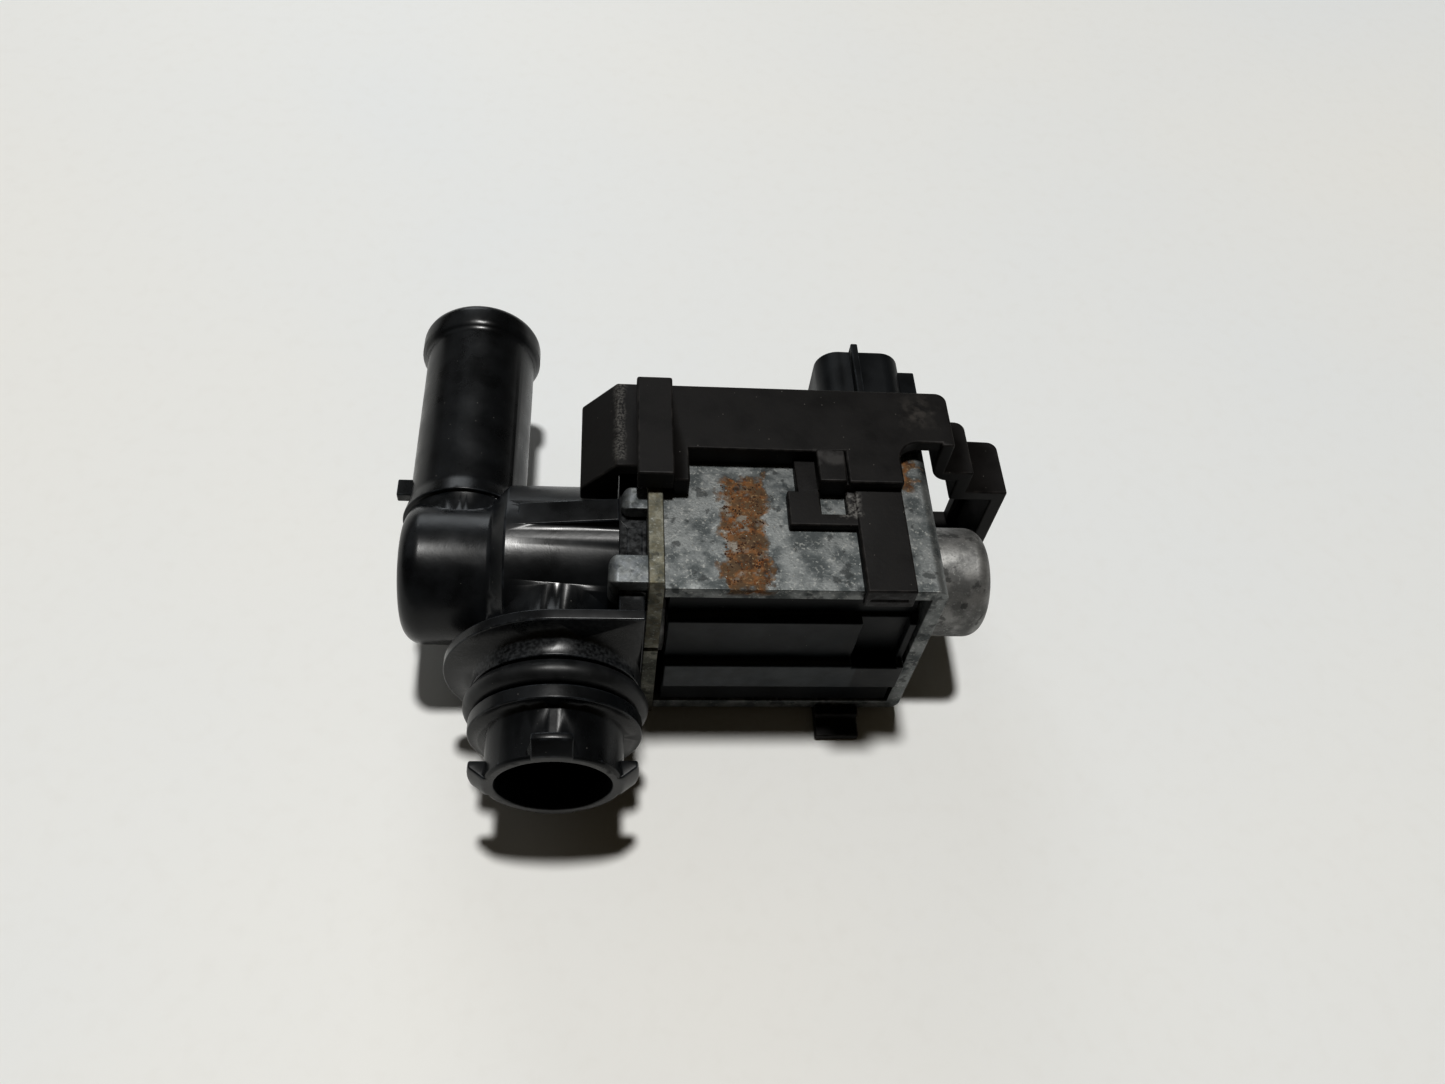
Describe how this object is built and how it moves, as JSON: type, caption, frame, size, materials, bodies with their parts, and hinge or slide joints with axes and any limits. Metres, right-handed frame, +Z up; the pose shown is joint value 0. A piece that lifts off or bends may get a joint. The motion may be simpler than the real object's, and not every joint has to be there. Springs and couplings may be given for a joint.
{
  "type": "solenoid vent valve",
  "caption": "Solenoid air valve: hose pipe and O-ring snap-in spigot on a moulded body, crimped steel coil yoke, plug socket and clip-on bracket.",
  "frame": {"origin": "centre of the spigot's pilot collar, on the spigot's axis", "axes": "+X along the coil's axis from the valve body towards the can's round end; +Y along the hose pipe, so the spigot points to -Y; +Z up, as the valve lies on its flat side"},
  "size_m": [0.0857, 0.0745, 0.0375],
  "materials": {
    "body_nylon": "moulded glass-filled black, satin",
    "coil_nylon": "moulded black overmould, satin",
    "bracket_nylon": "moulded brown-black, scuffed at the edges",
    "bobbin_nylon": "natural moulded",
    "ring_rubber": "smooth satin",
    "seal_rubber": "matt",
    "zinc_steel": "zinc plated, mottled, rust streak",
    "can_steel": "drawn, dull zinc",
    "core_steel": "turned",
    "rod_steel": "ground",
    "spring_steel": "drawn wire",
    "copper_wire": "enamelled wire",
    "tinned_brass": "tin plated",
    "bush_bronze": "sintered bronze"
  },
  "bodies": {
    "housing": {"valve_body": "body_nylon", "spigot_oring": "ring_rubber", "body_gasket": "ring_rubber", "end_plate": "zinc_steel", "yoke": "zinc_steel", "armature_can": "can_steel", "bobbin": "bobbin_nylon", "copper_winding": "copper_wire", "can_seal": "ring_rubber", "coil_case": "coil_nylon", "terminal_pin_1": "tinned_brass", "terminal_pin_2": "tinned_brass", "fixed_core": "core_steel", "guide_bush": "bush_bronze", "stop_pad": "ring_rubber", "return_spring": "spring_steel", "mounting_bracket": "bracket_nylon"},
    "armature": {"plunger": "core_steel", "push_rod": "rod_steel", "seal_carrier": "bobbin_nylon", "valve_seal": "seal_rubber", "push_nut": "rod_steel"}
  },
  "joints": [
    {"name": "valve_stroke", "type": "slide", "parent": "housing", "child": "armature", "axis": [-1, 0, 0], "range_m": [0, 0.0025], "stiffness_N_per_m": 800, "springref_m": -0.0025, "deforming": ["return_spring"]}
  ]
}
